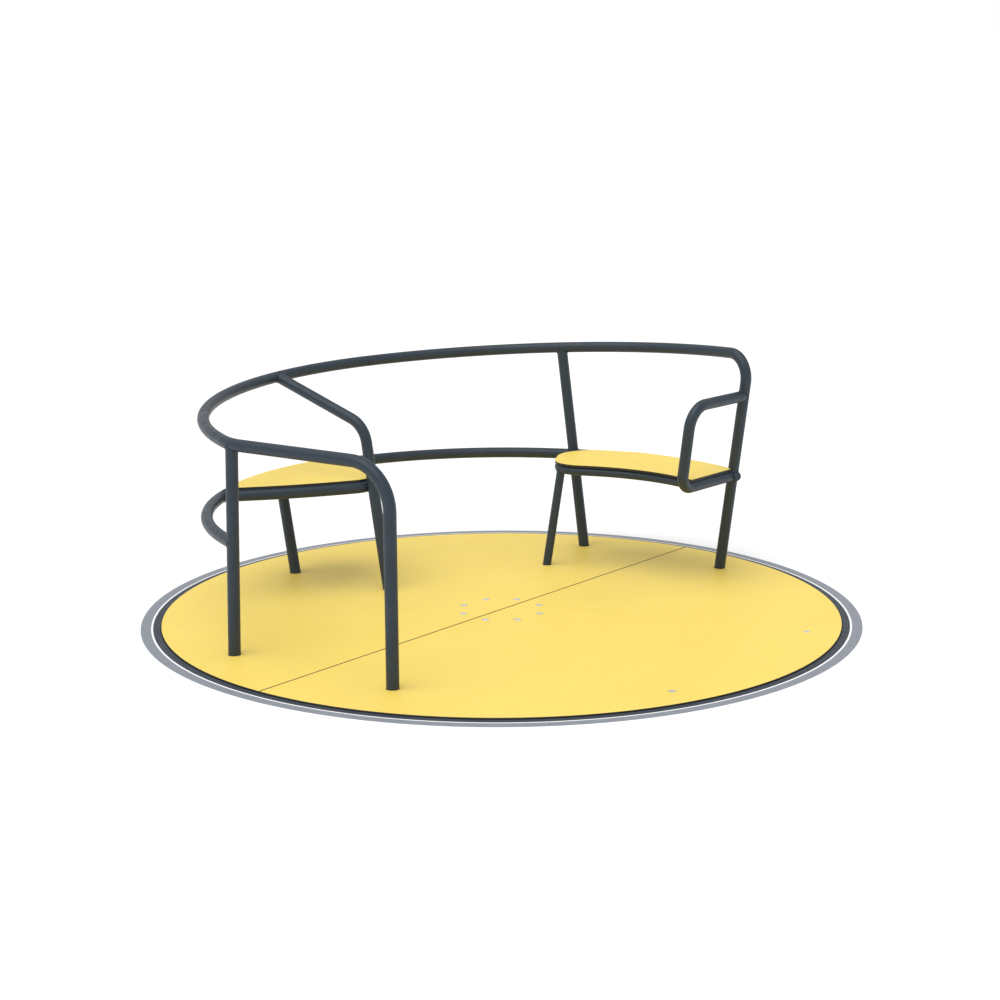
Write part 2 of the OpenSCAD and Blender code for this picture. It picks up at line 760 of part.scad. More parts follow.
module spindle_screws() {
    color(steel) for (i = [0:5]) translate(polar(spindle_screw_r, 60 * i, 3)) {
        cylinder(d = 12, h = base_t - 3 + spindle_flange_t + 1);
        translate([0, 0, base_t - 3 + spindle_flange_t]) difference() {
            cylinder(d = 18, h = 10);
            translate([0, 0, 4]) cylinder(d = 11.5, h = 10, $fn = 6);
        }
    }
}

// A sleeve between the two inner races.
module bearing_spacer() {
    z = low_brg[5] + low_brg[2];
    color(steel) difference() {
        translate([0, 0, z]) cylinder(r = low_brg[0] + 5, h = top_brg[5] - z);
        translate([0, 0, z - 1]) cylinder(r = low_brg[0] + fit, h = top_brg[5] - z + 2);
    }
}

module lock_washer() {
    color(zinc) difference() {
        translate([0, 0, top_brg[5] + top_brg[2]]) cylinder(r = 33, h = 2);
        translate([0, 0, top_brg[5] + top_brg[2] - 1]) cylinder(r = top_brg[0] + fit, h = 4);
    }
}

module spindle_nut() {
    z = top_brg[5] + top_brg[2] + 2;
    color(steel) difference() {
        translate([0, 0, z]) cylinder(r = 35, h = 14);
        translate([0, 0, z - 1]) cylinder(d = nut_thread_d + 2 * fit, h = 16);
        for (i = [0:3]) rotate([0, 0, 90 * i]) translate([31, -4, z - 1]) cube([10, 8, 16]);
    }
}

module base_plate() {
    color(zinc) difference() {
        cylinder(r = base_r, h = base_t);
        for (i = [0:7]) translate(polar(anchor_pcd_r, 22.5 + 45 * i, -1)) cylinder(d = anchor_hole_d, h = base_t + 2);
        for (i = [0:5]) translate(polar(spindle_screw_r, 60 * i, 3)) cylinder(d = 12 + 2 * fit, h = base_t);
    }
}

arm_bar_w = 60;
arm_bar_h = 40;
arm_bar_t = 4;

module base_arms() {
    color(zinc) for (i = [0:7]) rotate([0, 0, 45 * i]) difference() {
        translate([base_r - 10, -arm_bar_w / 2, 0])
            cube([ring_inner_r - 0.5 - base_r + 10, arm_bar_w, arm_bar_h]);
        translate([0, -arm_bar_w / 2 + arm_bar_t, arm_bar_t])
            cube([ring_inner_r + 10, arm_bar_w - 2 * arm_bar_t, arm_bar_h - 2 * arm_bar_t]);
        translate([0, 0, -1]) cylinder(r = base_r + fit, h = arm_bar_h + 2);
    }
}

// ---- Ground ring: four rolled angle segments bolted end to end through their lugs ----
segment_gap = 0.6;
ring_joint_angle = 6.3;
lug_t = 8;
lug_l = 30;
lug_z = 40;
lug_h = 150;
lug_bolt_d = 10;

module lug_spots() {
    for (z = [lug_z + 35, lug_z + lug_h - 35]) translate([ring_inner_r + ring_wall_t + 14, 0, z])
        rotate([-90, 0, 0]) children();
}

module ring_segment(i) {
    half_gap = segment_gap / 2 / ring_outer_r * 180 / PI;
    color(zinc) rotate([0, 0, ring_joint_angle + 90 * i]) difference() {
        union() {
            rotate([0, 0, half_gap]) rotate_extrude(angle = 90 - 2 * half_gap) polygon([
                [ring_inner_r, 0],
                [ring_inner_r + ring_wall_t, 0],
                [ring_inner_r + ring_wall_t, ring_top - ring_flange_t],
                [ring_outer_r, ring_top - ring_flange_t],
                [ring_outer_r, ring_top],
                [ring_inner_r, ring_top]
            ]);
            translate([ring_inner_r + 2, segment_gap / 2, lug_z]) cube([lug_l, lug_t, lug_h]);
            rotate([0, 0, 90]) translate([ring_inner_r + 2, -segment_gap / 2 - lug_t, lug_z])
                cube([lug_l, lug_t, lug_h]);
        }
        lug_spots() cylinder(d = lug_bolt_d + 1, h = 20);
        rotate([0, 0, 90]) lug_spots() translate([0, 0, -20]) cylinder(d = lug_bolt_d + 1, h = 20);
    }
}

module ground_ring_1() { ring_segment(0); }
module ground_ring_2() { ring_segment(1); }
module ground_ring_3() { ring_segment(2); }
module ground_ring_4() { ring_segment(3); }

module ring_joint_bolts() {
    grip = segment_gap / 2 + lug_t;
    color(steel) for (i = [0:3]) rotate([0, 0, ring_joint_angle + 90 * i]) lug_spots() {
        translate([0, 0, -grip - 9]) cylinder(d = lug_bolt_d, h = 2 * grip + 16);
        translate([0, 0, grip]) cylinder(d = 17, h = 6.4, $fn = 6);
        translate([0, 0, -grip - 8]) cylinder(d = 17, h = 8, $fn = 6);
    }
}

// A light lip seal that fills the slot between the ring and the turning rim.
module gap_seal() {
    color([0.9, 0.9, 0.9]) translate([0, 0, ring_top - 9]) difference() {
        cylinder(r = ring_inner_r - fit, h = 7);
        translate([0, 0, -1]) cylinder(r = rim_outer_r + 1.5, h = 9);
    }
}

base_plate();
base_arms();
ground_ring_1();
ground_ring_2();
ground_ring_3();
ground_ring_4();
ring_joint_bolts();
gap_seal();
spindle();
spindle_screws();
lower_inner_race();
upper_inner_race();
bearing_spacer();
lock_washer();
spindle_nut();
lower_balls();
lower_cage();
upper_balls();
upper_cage();
hub_housing();
lower_outer_race();
upper_outer_race();
dust_seal();
deck_spokes();
rim_ring();
deck_plate();
deck_board_a();
deck_board_b();
hub_bolts();
lifting_plugs();
post_bosses();
post_bolts();
low_rail_right();
low_rail_left();
low_rail_end_cap();
top_rail_back();
top_rail_side();
right_post();
back_post();
left_post();
front_handle();
arm_handle();
rear_leg();
seat_leg();
left_seat_tube();
right_seat_tube();
arm_loop();
left_seat_board();
right_seat_board();
left_seat_tabs();
right_seat_tabs();
left_seat_screws();
right_seat_screws();
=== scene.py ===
"""Looks of a flush-mounted playground merry-go-round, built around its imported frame.

The turning deck, its rim, the ground ring, the seat boards and the hub bolts get softened or newly
modelled meshes, every welded tube joint gets its bead, and every part gets its own finish.
"""

from __future__ import annotations

import json
import logging
import math
from collections import Counter
from collections.abc import Callable, Iterator
from contextlib import contextmanager
from dataclasses import dataclass
from enum import Enum

import bpy
from mathutils import Matrix, Vector

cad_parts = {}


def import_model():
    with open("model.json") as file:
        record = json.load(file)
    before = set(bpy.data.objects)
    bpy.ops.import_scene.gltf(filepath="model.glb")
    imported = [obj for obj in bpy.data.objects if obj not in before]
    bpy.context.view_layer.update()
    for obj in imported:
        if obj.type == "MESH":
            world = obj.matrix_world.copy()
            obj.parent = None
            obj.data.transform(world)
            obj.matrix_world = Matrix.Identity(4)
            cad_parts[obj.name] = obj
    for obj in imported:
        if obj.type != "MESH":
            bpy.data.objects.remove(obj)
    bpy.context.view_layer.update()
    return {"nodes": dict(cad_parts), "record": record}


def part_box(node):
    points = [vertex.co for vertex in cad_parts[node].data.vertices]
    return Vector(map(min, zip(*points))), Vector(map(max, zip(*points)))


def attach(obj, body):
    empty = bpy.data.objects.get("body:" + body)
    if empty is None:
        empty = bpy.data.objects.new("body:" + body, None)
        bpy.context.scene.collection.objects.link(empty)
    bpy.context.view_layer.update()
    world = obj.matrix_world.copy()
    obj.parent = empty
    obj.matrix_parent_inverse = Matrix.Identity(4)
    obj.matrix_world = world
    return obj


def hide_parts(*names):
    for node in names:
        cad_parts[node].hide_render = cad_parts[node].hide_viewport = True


log = logging.getLogger("merry_go_round")

Color = tuple[float, float, float]

PLATFORM = "platform"
BASE = "base"

QUARTER_TURN = 90.0
UP = 0.9
SAME_HEIGHT = 1e-5


class Slot(Enum):
    """The record's material slots."""

    GALVANISED = "galvanised"
    RING = "ring_steel"
    HARDWARE = "zinc_hardware"
    PALE_SEAL = "seal_pale"
    TURNED = "machined_steel"
    BEARING = "bearing_steel"
    CAGE = "cage_brass"
    PRIMED = "primed_steel"
    LIP_SEAL = "seal_rubber"
    RIM = "rim_paint"
    DECK = "deck_yellow"
    SEAT = "seat_yellow"
    BOLTS = "stainless_bolts"
    TUBE = "tube_paint"


# ---------------------------------------------------------------- finishes


class Recipe:
    """A node material while it is being put together."""

    def __init__(self, name: str) -> None:
        """Starts an empty material with a principled shader.

        Args:
            name: The material's name.
        """
        self.material = bpy.data.materials.new(name)
        self.material.use_nodes = True
        self.tree = self.material.node_tree
        self.shader = next(n for n in self.tree.nodes if n.type == "BSDF_PRINCIPLED")
        self.place = self.tree.nodes.new("ShaderNodeTexCoord").outputs["Object"]

    def set(self, **values: float | Color) -> None:
        """Sets the shader's own sockets.

        Args:
            values: Socket names, with underscores for spaces, and their values.
        """
        for key, value in values.items():
            socket = self.shader.inputs[key.replace("_", " ")]
            socket.default_value = (*value, 1.0) if isinstance(value, tuple) else value

    def node(self, kind: str, **settings: object) -> bpy.types.Node:
        """Adds a node.

        Args:
            kind: The node's type name without its common prefix.
            settings: Properties to set on the node.

        Returns:
            The new node.
        """
        made = self.tree.nodes.new("ShaderNode" + kind)
        for key, value in settings.items():
            setattr(made, key, value)
        return made

    def link(self, out: bpy.types.NodeSocket, into: bpy.types.NodeSocket) -> None:
        """Joins two sockets."""
        self.tree.links.new(out, into)

    def noise(
        self, size: float, detail: float = 4.0, roughness: float = 0.55
    ) -> bpy.types.NodeSocket:
        """Adds a noise whose lumps are about a given size.

        Args:
            size: The size of a lump, in metres.
            detail: The number of finer layers.
            roughness: How strong the finer layers are.

        Returns:
            The noise's factor.
        """
        made = self.node("TexNoise")
        made.inputs["Scale"].default_value = 1.0 / size
        made.inputs["Detail"].default_value = detail
        made.inputs["Roughness"].default_value = roughness
        self.link(self.place, made.inputs["Vector"])
        return made.outputs["Fac"]

    def cells(self, size: float, feature: str = "F1") -> bpy.types.Node:
        """Adds a cell pattern, such as zinc crystals.

        Args:
            size: The size of a cell, in metres.
            feature: The kind of distance the pattern gives.

        Returns:
            The pattern's node.
        """
        made = self.node("TexVoronoi", feature=feature)
        made.inputs["Scale"].default_value = 1.0 / size
        self.link(self.place, made.inputs["Vector"])
        return made

    def ramp(
        self, source: bpy.types.NodeSocket, stops: list[tuple[float, Color]]
    ) -> bpy.types.NodeSocket:
        """Turns a factor into colours.

        Args:
            source: The factor.
            stops: Positions and colours, in order.

        Returns:
            The colour.
        """
        made = self.node("ValToRGB")
        elements = made.color_ramp.elements
        while len(elements) < len(stops):
            elements.new(1.0)
        for element, (at, color) in zip(elements, stops, strict=True):
            element.position = at
            element.color = (*color, 1.0)
        self.link(source, made.inputs["Fac"])
        return made.outputs["Color"]

    def mottle(self, color: Color, size: float, detail: float, low: float, high: float) -> None:
        """Feeds the base colour with a slightly uneven tint.

        Args:
            color: The colour.
            size: The size of a patch, in metres.
            detail: The number of finer layers.
            low: The factor of the darkest patches.
            high: The factor of the lightest patches.
        """
        stops = [(0.3, shade(color, low)), (0.7, shade(color, high))]
        self.to("Base Color", self.ramp(self.noise(size, detail), stops))

    def span(
        self,
        source: bpy.types.NodeSocket,
        low: float,
        high: float,
        start: float = 0.3,
        stop: float = 0.7,
    ) -> bpy.types.NodeSocket:
        """Maps a factor from one span to another.

        Args:
            source: The factor.
            low: The result at the span's start.
            high: The result at the span's end.
            start: Where the source's span starts.
            stop: Where the source's span ends.

        Returns:
            The mapped value.
        """
        made = self.node("MapRange")
        ends = {"From Min": start, "From Max": stop, "To Min": low, "To Max": high}
        for key, value in ends.items():
            made.inputs[key].default_value = value
        self.link(source, made.inputs["Value"])
        return made.outputs["Result"]

    def bump(
        self,
        height: bpy.types.NodeSocket,
        depth: float,
        strength: float = 1.0,
        under: bpy.types.NodeSocket | None = None,
    ) -> bpy.types.NodeSocket:
        """Adds a bump.

        Args:
            height: The relief.
            depth: The relief's depth, in metres.
            strength: How much of it shows.
            under: A bump that lies under this one.

        Returns:
            The bent normal.
        """
        made = self.node("Bump")
        made.inputs["Strength"].default_value = strength
        made.inputs["Distance"].default_value = depth
        self.link(height, made.inputs["Height"])
        if under is not None:
            self.link(under, made.inputs["Normal"])
        return made.outputs["Normal"]

    def to(self, socket: str, source: bpy.types.NodeSocket) -> None:
        """Feeds one of the shader's sockets."""
        self.link(source, self.shader.inputs[socket])


def shade(color: Color, factor: float) -> Color:
    """Makes a colour lighter or darker."""
    return tuple(min(1.0, c * factor) for c in color)


@dataclass(frozen=True)
class PowderCoat:
    """Baked powder paint: faint orange peel, slightly uneven gloss and a few dull patches."""

    name: str
    color: Color
    roughness: float = 0.42
    gloss: float = 0.32
    peel: float = 0.0016
    peel_depth: float = 0.00004
    patch: float = 0.11
    dull_patch: float = 0.035

    def make(self) -> bpy.types.Material:
        """Builds the material."""
        r = Recipe(self.name)
        r.set(Specular_IOR_Level=self.gloss)
        r.mottle(self.color, self.patch, 3.0, 0.92, 1.08)
        dull = r.noise(self.dull_patch, 5.0)
        r.to("Roughness", r.span(dull, self.roughness - 0.06, self.roughness + 0.07))
        r.to("Normal", r.bump(r.noise(self.peel, 2.0), self.peel_depth, 0.6))
        return r.material


@dataclass(frozen=True)
class Laminate:
    """Weatherproof laminate board: a coloured top on a dark core that shows at every cut edge."""

    name: str
    color: Color
    core: Color
    top: float
    face_thickness: float = 0.00035
    grain: float = 0.0011
    grain_depth: float = 0.00009
    patch: float = 0.32
    scuff: float = 0.013
    ripple: float = 0.006
    ripple_depth: float = 0.00012

    def make(self) -> bpy.types.Material:
        """Builds the material."""
        r = Recipe(self.name)
        r.set(Specular_IOR_Level=0.4)
        height = r.node("SeparateXYZ")
        r.link(r.place, height.inputs["Vector"])
        face = r.node("Math", operation="GREATER_THAN")
        r.link(height.outputs["Z"], face.inputs[0])
        face.inputs[1].default_value = self.top - self.face_thickness

        stops = [(0.32, shade(self.color, 0.975)), (0.68, shade(self.color, 1.015))]
        tint = r.ramp(r.noise(self.patch, 4.0), stops)
        scuffs = r.span(r.noise(self.scuff, 9.0, 0.7), 0.0, 0.05, 0.62, 0.8)
        scuffed = r.node("Mix", data_type="RGBA")
        r.link(scuffs, scuffed.inputs["Factor"])
        r.link(tint, scuffed.inputs["A"])
        scuffed.inputs["B"].default_value = (*shade(self.color, 0.7), 1.0)
        color = r.node("Mix", data_type="RGBA")
        r.link(face.outputs[0], color.inputs["Factor"])
        color.inputs["A"].default_value = (*self.core, 1.0)
        r.link(scuffed.outputs["Result"], color.inputs["B"])
        r.to("Base Color", color.outputs["Result"])
        r.to("Roughness", r.span(r.noise(0.05, 6.0), 0.44, 0.56))
        pebbles = r.cells(self.grain, "SMOOTH_F1").outputs["Distance"]
        pebbled = r.bump(pebbles, self.grain_depth, 0.55)
        r.to("Normal", r.bump(r.noise(self.ripple, 4.0), self.ripple_depth, 0.3, pebbled))
        return r.material


@dataclass(frozen=True)
class Zinc:
    """Hot-dip zinc: dull crystals of slightly different greys."""

    name: str
    color: Color
    crystal: float = 0.012
    roughness: float = 0.52
    metal: float = 0.75
    contrast: float = 0.12

    def make(self) -> bpy.types.Material:
        """Builds the material."""
        r = Recipe(self.name)
        r.set(Metallic=self.metal)
        grey = r.node("SeparateColor")
        r.link(r.cells(self.crystal).outputs["Color"], grey.inputs["Color"])
        crystals = grey.outputs["Red"]
        darkest, lightest = 1 - self.contrast, 1 + self.contrast
        stops = [(0.0, shade(self.color, darkest)), (1.0, shade(self.color, lightest))]
        r.to("Base Color", r.ramp(crystals, stops))
        r.to("Roughness", r.span(crystals, self.roughness - 0.09, self.roughness + 0.09, 0.0, 1.0))
        r.to("Normal", r.bump(r.noise(0.004, 5.0), 0.00008, 0.5))
        return r.material


@dataclass(frozen=True)
class TurnedSteel:
    """Bright machined or stainless steel with fine tool marks round the upright axis."""

    name: str
    color: Color
    roughness: float = 0.3
    marks: float = 0.0007

    def make(self) -> bpy.types.Material:
        """Builds the material."""
        r = Recipe(self.name)
        r.set(Metallic=1.0)
        r.mottle(self.color, 0.02, 3.0, 0.93, 1.05)
        r.to("Roughness", r.span(r.noise(0.003, 6.0), self.roughness - 0.06, self.roughness + 0.08))
        r.to("Normal", r.bump(r.noise(self.marks, 3.0, 0.7), 0.00002, 0.4))
        return r.material


@dataclass(frozen=True)
class Polymer:
    """Rubber or a soft sealing profile: matte, lightly dusty, with a fine moulded grain."""

    name: str
    color: Color
    roughness: float = 0.75
    unevenness: float = 0.1

    def make(self) -> bpy.types.Material:
        """Builds the material."""
        r = Recipe(self.name)
        r.set(Specular_IOR_Level=0.3)
        r.mottle(self.color, 0.03, 5.0, 1 - self.unevenness, 1 + self.unevenness)
        r.to("Roughness", r.span(r.noise(0.01, 4.0), self.roughness - 0.08, self.roughness + 0.08))
        r.to("Normal", r.bump(r.noise(0.0009, 3.0), 0.00005, 0.5))
        return r.material


# ---------------------------------------------------------------- workshop


class Bench:
    """Modelling steps that the sub-assemblies share."""

    @staticmethod
    def only(piece: bpy.types.Object) -> None:
        """Selects one object and makes it active."""
        bpy.ops.object.select_all(action="DESELECT")
        piece.select_set(True)
        bpy.context.view_layer.objects.active = piece

    @staticmethod
    @contextmanager
    def editing(piece: bpy.types.Object, kind: str = "FACE") -> Iterator[None]:
        """Opens a piece in edit mode with all of it selected, and closes it after.

        Args:
            piece: The object to edit.
            kind: What is picked: VERT, EDGE or FACE.
        """
        Bench.only(piece)
        bpy.ops.object.mode_set(mode="EDIT")
        bpy.ops.mesh.select_mode(type=kind)
        bpy.ops.mesh.select_all(action="SELECT")
        try:
            yield
        finally:
            bpy.ops.object.mode_set(mode="OBJECT")

    @staticmethod
    def clear_picks(mesh: bpy.types.Mesh) -> None:
        """Deselects all of a mesh, while in object mode."""
        for group in (mesh.vertices, mesh.edges, mesh.polygons):
            group.foreach_set("select", [False] * len(group))

    @staticmethod
    def pick_faces(
        piece: bpy.types.Object, wanted: Callable[[bpy.types.MeshPolygon], bool]
    ) -> None:
        """Selects faces by their place or normal, while in object mode.

        Args:
            piece: The object whose faces are picked.
            wanted: Says whether a face is picked.
        """
        Bench.clear_picks(piece.data)
        for face in piece.data.polygons:
            face.select = wanted(face)

    @staticmethod
    def reopen(piece: bpy.types.Object, step: Callable[[], None]) -> None:
        """Runs one edit-mode step on what is already selected.

        Args:
            piece: The object to edit.
            step: The step.
        """
        bpy.context.view_layer.objects.active = piece
        bpy.ops.object.mode_set(mode="EDIT")
        step()
        bpy.ops.object.mode_set(mode="OBJECT")

    @staticmethod
    def bevel(piece: bpy.types.Object, width: float, segments: int, angle: float = 30.0) -> None:
        """Rounds a piece's sharp edges and keeps its flat faces flat.

        Args:
            piece: The object to round.
            width: The round's width, in metres.
            segments: The number of steps across the round.
            angle: Edges sharper than this many degrees are rounded.
        """
        Bench.only(piece)
        bpy.ops.object.shade_smooth()
        step = piece.modifiers.new("round", "BEVEL")
        step.width = width
        step.segments = segments
        step.limit_method = "ANGLE"
        step.angle_limit = math.radians(angle)
        step.harden_normals = True
        step.use_clamp_overlap = True
        bpy.ops.object.modifier_apply(modifier=step.name)

    @staticmethod
    def merged(node: str, name: str, flatten: float = 0.4) -> bpy.types.Object:
        """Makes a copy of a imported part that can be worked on, and that stands for it.

        Args:
            node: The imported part's name.
            name: The new piece's name.
            flatten: Faces closer than this many degrees are joined; none are at zero.

        Returns:
            The new piece.
        """
        source = bpy.data.objects[node]
        piece = bpy.data.objects.new(name, source.data.copy())
        bpy.context.scene.collection.objects.link(piece)
        with Bench.editing(piece):
            bpy.ops.mesh.customdata_custom_splitnormals_clear()
            bpy.ops.mesh.remove_doubles(threshold=0.00001)
            if flatten:
                bpy.ops.mesh.dissolve_limited(angle_limit=math.radians(flatten))
            bpy.ops.mesh.normals_make_consistent(inside=False)
        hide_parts(node)
        return piece

    @staticmethod
    def softened(node: str, name: str, width: float, segments: int = 2) -> bpy.types.Object:
        """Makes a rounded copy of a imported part, to stand for it.

        Args:
            node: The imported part's name.
            name: The new piece's name.
            width: The width of its rounded edges, in metres.
            segments: The number of steps across each round.

        Returns:
            The new piece.
        """
        piece = Bench.merged(node, name)
        Bench.bevel(piece, width, segments)
        return piece

    @staticmethod
    def smoothed(node: str, name: str, angle: float = 32.0) -> bpy.types.Object:
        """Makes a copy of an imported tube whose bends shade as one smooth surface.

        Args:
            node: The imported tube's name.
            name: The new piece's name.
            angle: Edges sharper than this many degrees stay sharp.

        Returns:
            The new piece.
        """
        piece = Bench.merged(node, name, 0.0)
        Bench.only(piece)
        bpy.ops.object.shade_smooth_by_angle(angle=math.radians(angle))
        return piece

    @staticmethod
    def copy(piece: bpy.types.Object, name: str, place: Matrix) -> bpy.types.Object:
        """Copies a piece with its own mesh to another place, with its object at the origin.

        Args:
            piece: The piece to copy.
            name: The copy's name.
            place: The move that is applied to the copy's mesh.

        Returns:
            The copy.
        """
        made = bpy.data.objects.new(name, piece.data.copy())
        made.data.transform(place)
        bpy.context.scene.collection.objects.link(made)
        return made

    @staticmethod
    def settle(piece: bpy.types.Object) -> None:
        """Puts a piece's place into its mesh."""
        Bench.only(piece)
        bpy.ops.object.transform_apply(location=True, rotation=True, scale=True)


def finish_piece(
    piece: bpy.types.Object, body: str, slot: Slot, finishes: dict[Slot, bpy.types.Material]
) -> None:
    """Gives a new piece its body and the material of its slot.

    Args:
        piece: The new piece.
        body: The body it rides on.
        slot: The record's slot of its finish.
        finishes: The materials by slot.
    """
    piece.data.materials.clear()
    piece.data.materials.append(finishes[slot])
    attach(piece, body)
    log.info("%s rides on %s in %s", piece.name, body, slot.value)


# ---------------------------------------------------------------- the pieces


@dataclass
class Deck:
    """The two laminate half discs and the dark steel rim round them."""

    board_chamfer: float = 0.0022
    hole_break: float = 0.0005
    seam_angle: float = 51.3
    rim_round: float = 0.0025
    reach: float = 0.003
    smooth_angle: float = 20.0

    def on_outline(self, middle: Vector, outer: float) -> bool:
        """Says whether an edge lies on a board's outline or along the seam.

        Args:
            middle: The edge's middle.
            outer: The outline's radius.

        Returns:
            Whether it does.
        """
        seam = math.radians(self.seam_angle)
        across = Vector((-math.sin(seam), math.cos(seam), 0))
        return middle.xy.length > outer - self.reach or abs(middle.dot(across)) < self.reach

    def pick_top_edges(
        self, mesh: bpy.types.Mesh, top: float, outer: float, outline: bool
    ) -> None:
        """Selects the edges that bound a board's top face.

        Args:
            mesh: The board's mesh.
            top: The height of the top face.
            outer: The outline's radius.
            outline: Picks the outline and the seam if true, and the holes' edges if not.
        """
        Bench.clear_picks(mesh)
        top_faces = (face for face in mesh.polygons if face.normal.z > UP)
        faces_on = Counter(key for face in top_faces for key in face.edge_keys)
        for edge in mesh.edges:
            ends = [mesh.vertices[v].co for v in edge.vertices]
            middle = (ends[0] + ends[1]) / 2
            level = all(abs(end.z - top) < SAME_HEIGHT for end in ends)
            bounds = level and faces_on[edge.key] == 1
            edge.select = bounds and self.on_outline(middle, outer) == outline

    def board(self, side: str) -> bpy.types.Object:
        """Makes one half disc: its outline and seam get a chamfer that bares the dark core.

        Args:
            side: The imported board's letter.

        Returns:
            The board.
        """
        board = Bench.merged(f"deck_board_{side}", f"deck_half_{side}")
        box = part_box(f"deck_board_{side}")
        top = box[1].z
        outer = max(abs(c) for corner in box for c in corner.xy)
        for outline, width in ((True, self.board_chamfer), (False, self.hole_break)):
            self.pick_top_edges(board.data, top, outer, outline)
            bpy.context.view_layer.objects.active = board
            bpy.ops.object.mode_set(mode="EDIT")
            bpy.ops.mesh.select_mode(type="EDGE")
            bpy.ops.mesh.bevel(offset=width, segments=1, clamp_overlap=False)
            bpy.ops.object.mode_set(mode="OBJECT")
        Bench.only(board)
        bpy.ops.object.shade_smooth_by_angle(angle=math.radians(self.smooth_angle))
        return board

    def build(self, finishes: dict[Slot, bpy.types.Material]) -> None:
        """Makes the deck's visible pieces."""
        for side in ("a", "b"):
            finish_piece(self.board(side), PLATFORM, Slot.DECK, finishes)
        rim = Bench.softened("rim_ring", "turning_rim", self.rim_round, 3)
        finish_piece(rim, PLATFORM, Slot.RIM, finishes)


@dataclass
class GroundRing:
    """The fixed ring of rolled angle and the pale lip profile in its slot."""

    edge_round: float = 0.0015
    lip_top: float = 0.2398
    lip_gap: float = 0.0004
    lip_round: float = 0.0008

    def lip(self) -> bpy.types.Object:
        """Makes the slot's profile: a soft lip that fills the slot almost to the turning rim."""
        lip = Bench.merged("gap_seal", "slot_profile")
        low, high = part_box("gap_seal")
        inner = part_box("rim_ring")[1].x + self.lip_gap
        for vertex in lip.data.vertices:
            if vertex.co.z > (low.z + high.z) / 2:
                vertex.co.z = self.lip_top
            if vertex.co.xy.length < (inner + high.x) / 2:
                vertex.co.xy *= inner / vertex.co.xy.length
        Bench.bevel(lip, self.lip_round, 3)
        return lip

    def build(self, finishes: dict[Slot, bpy.types.Material]) -> None:
        """Makes the ring's four lengths and the slot's profile."""
        for number in range(1, 5):
            node, name = f"ground_ring_{number}", f"ring_length_{number}"
            length = Bench.softened(node, name, self.edge_round)
            finish_piece(length, BASE, Slot.RING, finishes)
        finish_piece(self.lip(), BASE, Slot.PALE_SEAL, finishes)


@dataclass
class Seats:
    """The two laminate seat boards with their routed edges."""

    edge_round: float = 0.0028

    def build(self, finishes: dict[Slot, bpy.types.Material]) -> None:
        """Makes both seat boards."""
        for side in ("left", "right"):
            board = Bench.softened(f"{side}_seat_board", f"{side}_seat", self.edge_round, 3)
            finish_piece(board, PLATFORM, Slot.SEAT, finishes)


